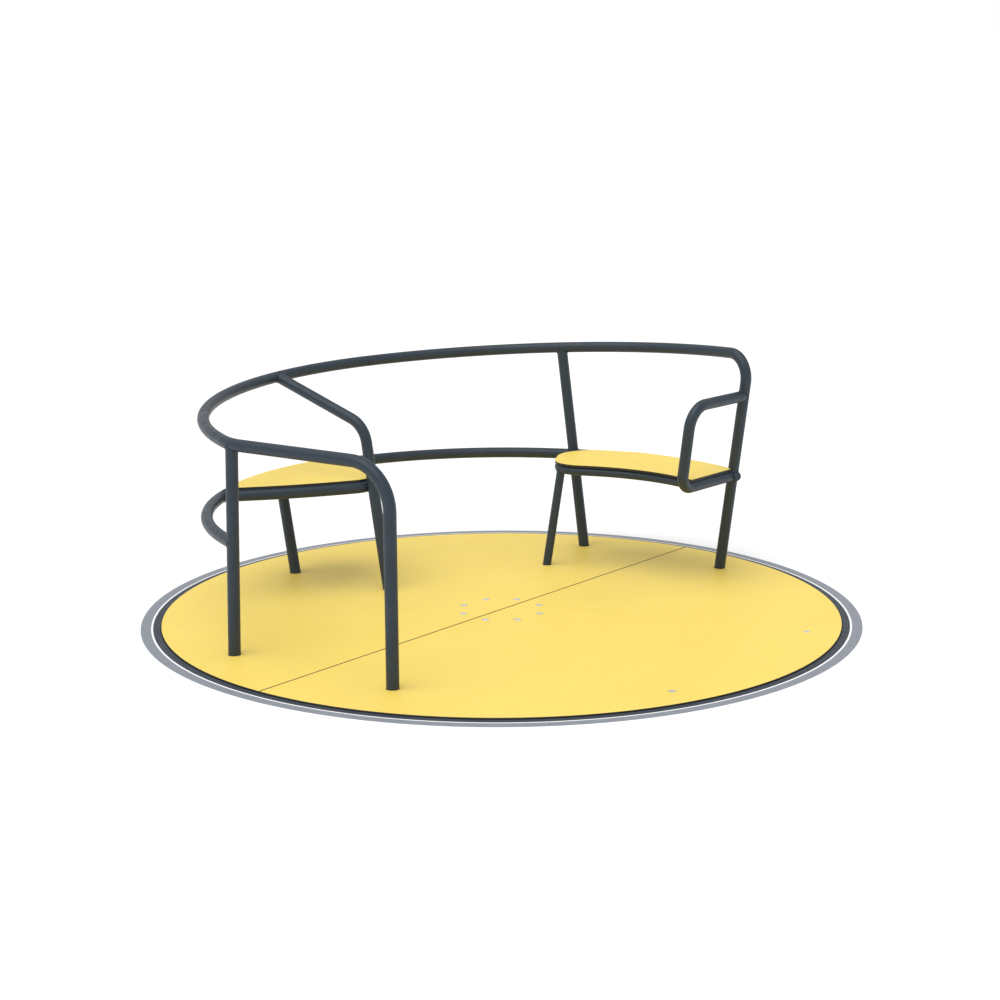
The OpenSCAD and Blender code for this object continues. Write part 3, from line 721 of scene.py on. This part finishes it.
@dataclass
class HubBolts:
    """Eight flat-headed bolts with a six-lobed socket, each with its shank and nut."""

    circle: float = 0.150
    first: float = 22.25
    count: int = 8
    head_r: float = 0.013
    head_t: float = 0.005
    shank_r: float = 0.006
    shank_end: float = 0.202
    nut_r: float = 0.0105
    nut_top: float = 0.216
    nut_t: float = 0.010
    socket_r: float = 0.0052
    socket_depth: float = 0.0028
    sides: int = 48
    shank_sides: int = 32
    lobes: int = 6
    lobe_depth: float = 0.13
    centre: float = 0.0005
    head_round: float = 0.0008
    shank_round: float = 0.001
    nut_round: float = 0.0012
    round_angle: float = 50.0

    def cylinder(self, radius: float, top: float, height: float, sides: int) -> bpy.types.Object:
        """Adds an upright cylinder whose top is at a given height.

        Args:
            radius: Its radius.
            top: The height of its top.
            height: How tall it is.
            sides: Its number of sides.

        Returns:
            The cylinder, with its place in its mesh.
        """
        bpy.ops.mesh.primitive_cylinder_add(
            vertices=sides, radius=radius, depth=height, location=(0, 0, top - height / 2)
        )
        made = bpy.context.active_object
        Bench.settle(made)
        return made

    def in_middle(self, face: bpy.types.MeshPolygon) -> bool:
        """Whether a face is the head's middle one, where the socket goes."""
        return face.normal.z > UP and face.center.xy.length < self.centre

    def head(self, top: float) -> bpy.types.Object:
        """Models the head: a disc with a rounded rim and a lobed socket sunk in its top.

        Args:
            top: The height of its top.

        Returns:
            The head.
        """
        head = self.cylinder(self.head_r, top, self.head_t, self.sides)
        wall = self.head_r - self.socket_r
        Bench.pick_faces(head, lambda face: face.normal.z > UP)
        Bench.reopen(head, lambda: bpy.ops.mesh.inset(thickness=wall, depth=0.0))
        socket = next(face for face in head.data.polygons if self.in_middle(face))
        for index in socket.vertices:
            point = head.data.vertices[index].co
            wave = 1.0 + self.lobe_depth * math.cos(math.atan2(point.y, point.x) * self.lobes)
            point.x *= wave
            point.y *= wave
        down = {"value": (0, 0, -self.socket_depth)}
        Bench.pick_faces(head, self.in_middle)
        Bench.reopen(
            head, lambda: bpy.ops.mesh.extrude_region_move(TRANSFORM_OT_translate=down)
        )
        Bench.bevel(head, self.head_round, 2, self.round_angle)
        return head

    def build(self, finishes: dict[Slot, bpy.types.Material]) -> None:
        """Models one bolt and copies it round the hub."""
        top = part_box("hub_bolts")[1][2]
        head = self.head(top)
        under = top - self.head_t
        shank = self.cylinder(self.shank_r, under, under - self.shank_end, self.shank_sides)
        Bench.bevel(shank, self.shank_round, 2, self.round_angle)
        nut = self.cylinder(self.nut_r, self.nut_top, self.nut_t, 6)
        Bench.bevel(nut, self.nut_round, 2, self.round_angle)
        Bench.only(head)
        shank.select_set(True)
        nut.select_set(True)
        bpy.ops.object.join()
        for number in range(self.count):
            angle = math.radians(self.first + 360.0 / self.count * number)
            way = Vector((math.cos(angle), math.sin(angle), 0))
            place = Matrix.Translation(way * self.circle) @ Matrix.Rotation(angle, 4, "Z")
            bolt = Bench.copy(head, f"hub_bolt_{number + 1}", place)
            finish_piece(bolt, PLATFORM, Slot.BOLTS, finishes)
            if number == 0:
                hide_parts("hub_bolts")
        bpy.data.objects.remove(head)


@dataclass
class TubeFrame:
    """The welded frame of bent tubes: rails, posts, hand holds, legs and seat tubes."""

    tubes: tuple[str, ...] = (
        "low_rail_right",
        "low_rail_left",
        "low_rail_end_cap",
        "top_rail_back",
        "top_rail_side",
        "right_post",
        "back_post",
        "left_post",
        "front_handle",
        "arm_handle",
        "rear_leg",
        "seat_leg",
        "left_seat_tube",
        "right_seat_tube",
        "arm_loop",
    )

    def build(self, finishes: dict[Slot, bpy.types.Material]) -> None:
        """Makes every tube with smooth bends."""
        for tube in self.tubes:
            finish_piece(Bench.smoothed(tube, f"{tube}_tube"), PLATFORM, Slot.TUBE, finishes)


@dataclass(frozen=True)
class Seam:
    """Where one tube meets the side of another.

    Attributes:
        name: The bead's name.
        at: A point on the carrying tube's axis that the joining tube's axis runs through.
        away: The joining tube's direction, away from the carrying one.
        along: The carrying tube's direction.
        joining_r: The joining tube's radius.
        carrying_r: The carrying tube's radius.
    """

    name: str
    at: Vector
    away: Vector
    along: Vector
    joining_r: float
    carrying_r: float


@dataclass
class RailPlan:
    """The tube frame's own lines, in metres and degrees.

    Attributes:
        tube_r: The radius of the frame tubes.
        slim_r: The radius of the slim tubes.
        rail_r: The radius of both rails.
        low_z: The height of the low rail.
        slim_z: The height of the right seat's tube.
        high: The hand rail's height at its high end.
        low: The hand rail's height at its low end.
        start: The angle where the hand rail starts.
        end: The angle where the hand rail ends.
        foot_z: The height of the posts' feet.
        end_plate: How far the right corner lies before the hand rail's start.
        kink: The angle of the hand rail's soft bend.
        kink_r: The radius of that bend.
        kink_lead: How far that bend lies beyond the hand rail's end.
        right_foot: The radius and angle of the right post's foot.
        left_foot: The radius and angle of the left post's foot.
        back_angles: The angles of the back post at the low rail and at the hand rail.
        loop_way: The arm loop's direction, away from the right post.
        loop_rise: How far the arm loop's upper joint lies above its lower one.
        cap_r: The radius of the bead at the low rail's domed end.
        hold_angle: The angle of the sloping hand hold and its leg.
        hold_corner: The radius and height where the sloping hand hold turns down.
        leg_angle: The angle of the rear leg's top.
        leg_foot_r: The radius of the rear leg's foot.
        curve: The middle of the left seat's front curve.
        curve_r: The radius of that curve.
        curve_start: The angle where that curve starts.
        bend: The radius of the arc, the angle and the corner radius of that curve's bend.
        bend_way: The direction of the left seat's tube after its bend.
        front: The middle of the right seat's front curve.
        front_end: The radius and angle of the middle of that curve's round end.
        round_r: The radius of that round end.
        run_way: The direction of the right seat's tube after its round end.
        seat_leg_top: The seat leg's top, from the middle of the round end.
        seat_leg_foot: The seat leg's foot.
        seat_leg_rail: The direction of the seat's tube at the seat leg.
    """

    tube_r: float = 0.0212
    slim_r: float = 0.01685
    rail_r: float = 1.053
    low_z: float = 0.632
    slim_z: float = 0.63635
    high: float = 1.111
    low: float = 0.9675
    start: float = 32.2
    end: float = 209.8
    foot_z: float = 0.240
    end_plate: float = 0.113
    kink: float = 25.7
    kink_r: float = 0.200
    kink_lead: float = 0.003
    right_foot: tuple[float, float] = (1.060, 34.9)
    left_foot: tuple[float, float] = (1.059, 211.7)
    back_angles: tuple[float, float] = (73.25, 76.1)
    loop_way: tuple[float, float, float] = (-0.6397, -0.7688, 0)
    loop_rise: float = 0.322
    cap_r: float = 0.018
    hold_angle: float = 145.4
    hold_corner: tuple[float, float] = (0.6275, 0.8676)
    leg_angle: float = 145.7
    leg_foot_r: float = 0.989
    curve: tuple[float, float, float] = (-1.326, 2.093, 0)
    curve_r: float = 1.924
    curve_start: float = -81.33
    bend: tuple[float, float, float] = (1.807, -66.3, 0.117)
    bend_way: float = 135.0
    front: tuple[float, float, float] = (0.170, -0.032, 0)
    front_end: tuple[float, float] = (0.768, 77.4)
    round_r: float = 0.105
    run_way: float = 72.5
    seat_leg_top: tuple[float, float, float] = (-0.0973, -0.040, 0)
    seat_leg_foot: tuple[float, float] = (0.183, 0.672)
    seat_leg_rail: float = -68.0

    @property
    def half(self) -> float:
        """Half the angle of one of the hand rail's two arcs."""
        return (self.end - self.start) / 4

    @property
    def tilt(self) -> float:
        """How far each arc of the hand rail is tilted, in radians."""
        half_width = self.rail_r * math.sin(math.radians(self.half))
        return -math.asin((self.high - self.low) / 4 / half_width)

    @staticmethod
    def polar(radius: float, angle: float, z: float) -> Vector:
        """A point at a radius, an angle and a height."""
        radians = math.radians(angle)
        return Vector((radius * math.cos(radians), radius * math.sin(radians), z))

    @staticmethod
    def tangent(point: Vector) -> Vector:
        """The low rail's direction at one of its points."""
        return Vector((-point.y, point.x, 0)).normalized()

    def top(self, angle: float) -> tuple[Vector, Vector]:
        """A point of the hand rail and its direction there.

        Args:
            angle: The rail's own angle, in degrees.

        Returns:
            The point and the unit direction.
        """
        back = angle < (self.start + self.end) / 2
        middle = self.start + self.half if back else self.end - self.half
        quarter = (self.high - self.low) / 4
        height = self.high - quarter if back else self.low + quarter
        turn = Matrix.Rotation(math.radians(middle), 3, "Z") @ Matrix.Rotation(self.tilt, 3, "X")
        t = math.radians(angle - middle)
        point = turn @ Vector((self.rail_r * math.cos(t), self.rail_r * math.sin(t), 0))
        return point + Vector((0, 0, height)), turn @ Vector((-math.sin(t), math.cos(t), 0))

    def level(self, angle: float) -> tuple[Vector, Vector]:
        """A point of the low rail and its direction there."""
        radians = math.radians(angle)
        way = Vector((-math.sin(radians), math.cos(radians), 0))
        return self.polar(self.rail_r, angle, self.low_z), way

    def meet(self, start: Vector, way: Vector) -> Vector:
        """Finds where a level line crosses the low rail's circle.

        Args:
            start: A point of the line inside the circle.
            way: The line's direction.

        Returns:
            The crossing that lies ahead.
        """
        flat, step = start.xy, way.xy.normalized()
        along = flat.dot(step)
        reach = -along + math.sqrt(along * along - flat.length_squared + self.rail_r**2)
        return start + Vector((*step, 0)) * reach

    def right_side(self) -> list[Seam]:
        """Lists the joints on the right post."""
        first, first_dir = self.top(self.start)
        corner = first - first_dir * self.end_plate
        foot = self.polar(*self.right_foot, self.foot_z)
        post = (corner - foot).normalized()
        low = foot + (corner - foot) * (self.low_z - foot.z) / (corner.z - foot.z)
        high = low + post * (self.loop_rise / post.z)
        loop = Vector(self.loop_way)
        rail = self.level(math.degrees(math.atan2(low.y, low.x)))[1]
        tube = self.tube_r
        return [
            Seam("weld_low_rail_right_post", low, rail, post, tube, tube),
            Seam("weld_loop_low", low, loop, post, tube, tube),
            Seam("weld_loop_top", high, loop, post, tube, tube),
            Seam("weld_rail_end_cap", low, -rail, post, self.cap_r, tube),
        ]

    def other_posts(self) -> list[Seam]:
        """Lists the joints on the back post and the left post."""
        back_low, back_dir = self.level(self.back_angles[0])
        back_top, back_rail = self.top(self.back_angles[1])
        back = (back_top - back_low).normalized()
        last, last_dir = self.top(self.end)
        half_kink = math.radians(self.kink / 2)
        turn = Matrix.Rotation(math.radians(self.kink), 3, "Z")
        hand_dir = turn @ Vector((last_dir.x, last_dir.y, 0)).normalized()
        kink_at = last + last_dir * (self.kink_r * math.tan(half_kink) + self.kink_lead)
        inward = (hand_dir - last_dir).normalized()
        left_top = kink_at + inward * self.kink_r * (1 / math.cos(half_kink) - 1)
        left_rail = (hand_dir + last_dir).normalized()
        foot = self.polar(*self.left_foot, self.foot_z)
        left = (left_top - foot).normalized()
        left_low = foot + left * ((self.low_z - foot.z) / left.z)
        left_dir = self.level(math.degrees(math.atan2(left_low.y, left_low.x)))[1]
        tube = self.tube_r
        return [
            Seam("weld_low_rail_back_right", back_low, -back_dir, back, tube, tube),
            Seam("weld_low_rail_back_left", back_low, back_dir, back, tube, tube),
            Seam("weld_low_rail_left_post", left_low, -left_dir, left, tube, tube),
            Seam("weld_back_post_top", back_top, -back, back_rail, tube, tube),
            Seam("weld_left_post_top", left_top, -left, left_rail, tube, tube),
        ]

    def hold_and_leg(self) -> list[Seam]:
        """Lists the upper joints of the sloping hand hold and the rear leg."""
        hold_top, hold_rail = self.top(self.hold_angle)
        corner_r, corner_z = self.hold_corner
        hold = (self.polar(corner_r, self.hold_angle, corner_z) - hold_top).normalized()
        leg_top, leg_rail = self.level(self.leg_angle)
        leg = (self.polar(self.leg_foot_r, self.hold_angle, self.foot_z) - leg_top).normalized()
        tube = self.tube_r
        return [
            Seam("weld_arm_handle_top", hold_top, hold, hold_rail, tube, tube),
            Seam("weld_rear_leg_top", leg_top, leg, leg_rail, tube, tube),
        ]

    def seat_tubes(self) -> list[Seam]:
        """Lists the joints of the seats' tubes and the seat leg."""
        curve = Vector(self.curve)
        start = curve + self.polar(self.curve_r, self.curve_start, self.low_z)
        start_way = self.polar(1.0, self.curve_start + QUARTER_TURN, 0)
        arc_r, arc_angle, bend_r = self.bend
        bend_stop = curve + self.polar(arc_r, arc_angle, self.low_z)
        bend_stop += self.polar(bend_r, self.bend_way - QUARTER_TURN, 0)
        heading = self.polar(1.0, self.bend_way, 0)
        stop = self.meet(bend_stop, heading)
        end_r, end_angle = self.front_end
        round_end = Vector(self.front) + self.polar(end_r, end_angle, self.slim_z)
        run = self.polar(1.0, self.run_way, 0)
        side = self.polar(self.round_r, self.run_way + QUARTER_TURN, 0)
        run_stop = self.meet(round_end + side, run)
        leg_top = round_end + Vector(self.seat_leg_top)
        leg = (Vector((*self.seat_leg_foot, self.foot_z)) - leg_top).normalized()
        leg_rail = self.polar(1.0, self.seat_leg_rail, 0)
        tube, slim = self.tube_r, self.slim_r
        return [
            Seam("weld_left_seat_start", start, start_way, self.tangent(start), tube, tube),
            Seam("weld_left_seat_end", stop, -heading, self.tangent(stop), tube, tube),
            Seam("weld_right_seat_end", run_stop, -run, self.tangent(run_stop), slim, tube),
            Seam("weld_seat_leg_top", leg_top, leg, leg_rail, slim, slim),
        ]

    def seams(self) -> list[Seam]:
        """Lists every welded joint of the tube frame."""
        return self.right_side() + self.other_posts() + self.hold_and_leg() + self.seat_tubes()


@dataclass
class Beads:
    """The rippled weld bead round every tube joint."""

    bead_r: float = 0.0028
    ripples: int = 28
    ripple: float = 0.12
    steps: int = 112
    round_steps: int = 8

    def model(self, seam: Seam) -> bpy.types.Object:
        """Models one bead by bending a ring to the line where two tubes meet.

        Args:
            seam: The joint.

        Returns:
            The bead, with its place in its mesh.
        """
        bpy.ops.mesh.primitive_torus_add(
            major_segments=self.steps,
            minor_segments=self.round_steps,
            major_radius=seam.joining_r,
            minor_radius=self.bead_r,
        )
        bead = bpy.context.active_object
        bead.name = seam.name
        out = seam.away.normalized()
        along = seam.along.normalized()
        across = (along - out * along.dot(out)).normalized()
        third = out.cross(across)
        for vertex in bead.data.vertices:
            turn = math.atan2(vertex.co.y, vertex.co.x)
            spoke = across * math.cos(turn) + third * math.sin(turn)
            on_tube = spoke * seam.joining_r
            swell = 1.0 + self.ripple * math.sin(turn * self.ripples)
            from_line = Vector((vertex.co.xy.length - seam.joining_r, vertex.co.z)) * swell
            # Slide along the joining tube until the line lies on the carrying tube's skin.
            a = 1.0 - out.dot(along) ** 2
            b = -on_tube.dot(along) * out.dot(along)
            c = on_tube.length_squared - on_tube.dot(along) ** 2 - seam.carrying_r**2
            reach = (-b + math.sqrt(max(b * b - a * c, 0.0))) / a
            vertex.co = seam.at + on_tube + out * (reach + from_line.y) + spoke * from_line.x
        with Bench.editing(bead):
            bpy.ops.mesh.normals_make_consistent(inside=False)
        Bench.only(bead)
        bpy.ops.object.shade_smooth()
        return bead

    def build(self, finishes: dict[Slot, bpy.types.Material]) -> None:
        """Makes every bead."""
        for seam in RailPlan().seams():
            finish_piece(self.model(seam), PLATFORM, Slot.TUBE, finishes)


# ---------------------------------------------------------------- the studio


@dataclass
class Studio:
    """The pale floor with its round opening, the soft light and the camera."""

    ground_z: float = 0.2398
    hole_r: float = 1.3004
    floor_r: float = 40.0
    floor_sides: int = 256
    lens: float = 66.91
    pitch: float = 77.909
    roll: float = -0.262
    eye: tuple[float, float, float] = (-0.0036, -6.5769, 2.0631)
    sky: float = 0.70
    key: float = 1.62
    key_spread: float = 60.0
    key_from: tuple[float, float, float] = (-0.32, -0.32, 1.0)
    sensor: float = 36.0
    near: float = 0.1
    far: float = 200.0
    floor_shades: tuple[float, float] = (0.975, 0.99)

    def floor(self) -> None:
        """Models the floor: a wide ring that the ground ring sits in, flush."""
        middle = (0, 0, self.ground_z)
        bpy.ops.mesh.primitive_circle_add(
            vertices=self.floor_sides, radius=self.hole_r, fill_type="NOTHING", location=middle
        )
        floor = bpy.context.active_object
        floor.name = "floor"
        Bench.settle(floor)
        with Bench.editing(floor, "EDGE"):
            bpy.ops.mesh.extrude_edges_move()
            ratio = self.floor_r / self.hole_r
            bpy.ops.transform.resize(value=(ratio, ratio, 1), center_override=middle)
        recipe = Recipe("pale_floor")
        recipe.set(Roughness=0.9, Specular_IOR_Level=0.0)
        recipe.mottle((1.0, 1.0, 1.0), 0.5, 3.0, *self.floor_shades)
        floor.data.materials.append(recipe.material)

    def light(self) -> None:
        """Sets the white surroundings and one large soft light from the upper left."""
        world = bpy.data.worlds.new("studio")
        bpy.context.scene.world = world
        world.use_nodes = True
        tree = world.node_tree
        background = tree.nodes["Background"]
        background.inputs["Color"].default_value = (1, 1, 1, 1)
        background.inputs["Strength"].default_value = self.sky
        backdrop = tree.nodes.new("ShaderNodeBackground")
        backdrop.inputs["Color"].default_value = (1, 1, 1, 1)
        seen = tree.nodes.new("ShaderNodeLightPath")
        mix = tree.nodes.new("ShaderNodeMixShader")
        tree.links.new(seen.outputs["Is Camera Ray"], mix.inputs["Fac"])
        tree.links.new(background.outputs["Background"], mix.inputs[1])
        tree.links.new(backdrop.outputs["Background"], mix.inputs[2])
        tree.links.new(mix.outputs["Shader"], tree.nodes["World Output"].inputs["Surface"])
        data = bpy.data.lights.new("softbox", "SUN")
        data.energy = self.key
        data.angle = math.radians(self.key_spread)
        lamp = bpy.data.objects.new("softbox", data)
        lamp.rotation_euler = Vector(self.key_from).to_track_quat("Z", "Y").to_euler()
        bpy.context.scene.collection.objects.link(lamp)
        bpy.context.scene.view_settings.view_transform = "Standard"

    def camera(self) -> None:
        """Places the camera."""
        data = bpy.data.cameras.new("camera")
        data.lens = self.lens
        data.sensor_width = self.sensor
        data.clip_start, data.clip_end = self.near, self.far
        camera = bpy.data.objects.new("camera", data)
        tip = Matrix.Rotation(math.radians(self.pitch), 4, "X")
        lean = Matrix.Rotation(math.radians(self.roll), 4, "Z")
        camera.matrix_world = Matrix.Translation(self.eye) @ tip @ lean
        bpy.context.scene.collection.objects.link(camera)
        bpy.context.scene.camera = camera

    def build(self) -> None:
        """Sets up the whole studio."""
        self.camera()
        self.light()
        self.floor()


def make_finishes() -> dict[Slot, bpy.types.Material]:
    """Builds one material for each of the record's slots.

    Returns:
        The materials by slot.
    """
    deck_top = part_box("deck_board_a")[1][2]
    seat_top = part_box("left_seat_board")[1][2]
    yellow = (0.94, 0.70, 0.132)
    core = (0.016, 0.015, 0.014)
    recipes = {
        Slot.GALVANISED: Zinc("hot_dip_zinc", (0.42, 0.44, 0.46)),
        Slot.RING: Zinc(
            "ring_zinc_grey",
            (0.265, 0.288, 0.33),
            crystal=0.02,
            roughness=0.6,
            metal=0.15,
            contrast=0.05,
        ),
        Slot.HARDWARE: Zinc(
            "plated_hardware", (0.55, 0.56, 0.58), crystal=0.004, roughness=0.35, metal=0.95
        ),
        Slot.PALE_SEAL: Polymer("pale_slot_profile", (0.95, 0.96, 0.97), 0.6, 0.02),
        Slot.TURNED: TurnedSteel("turned_steel", (0.55, 0.56, 0.58)),
        Slot.BEARING: TurnedSteel("bearing_steel", (0.68, 0.69, 0.71), 0.16),
        Slot.CAGE: TurnedSteel("cage_brass", (0.72, 0.52, 0.22), 0.34),
        Slot.PRIMED: PowderCoat("hub_primer", (0.075, 0.087, 0.105), 0.5),
        Slot.LIP_SEAL: Polymer("lip_seal_rubber", (0.02, 0.02, 0.02)),
        Slot.RIM: PowderCoat("rim_coat", (0.026, 0.038, 0.054), 0.5),
        Slot.DECK: Laminate("deck_laminate", yellow, core, deck_top),
        Slot.SEAT: Laminate("seat_laminate", yellow, core, seat_top),
        Slot.BOLTS: TurnedSteel("stainless", (0.86, 0.86, 0.86), 0.42),
        Slot.TUBE: PowderCoat("anthracite_coat", (0.026, 0.040, 0.056), 0.4),
    }
    return {slot: recipe.make() for slot, recipe in recipes.items()}


def dress_frame(frame: dict, finishes: dict[Slot, bpy.types.Material]) -> None:
    """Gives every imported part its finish.

    Args:
        frame: The loaded frame.
        finishes: The materials by slot.
    """
    for row in frame["record"]["subparts"]:
        part = frame["nodes"][row["node"]]
        finish = finishes[Slot(row["material_slot"])]
        if part.material_slots:
            for place in part.material_slots:
                place.material = finish
        else:
            part.data.materials.append(finish)


def main() -> None:
    """Builds the whole scene in order."""
    logging.basicConfig(level=logging.INFO, format="%(name)s: %(message)s")
    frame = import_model()
    bpy.ops.object.select_all(action="DESELECT")
    Studio().build()
    finishes = make_finishes()
    dress_frame(frame, finishes)
    for assembly in (Deck(), GroundRing(), Seats(), HubBolts(), TubeFrame(), Beads()):
        assembly.build(finishes)


if __name__ == "__main__":
    main()
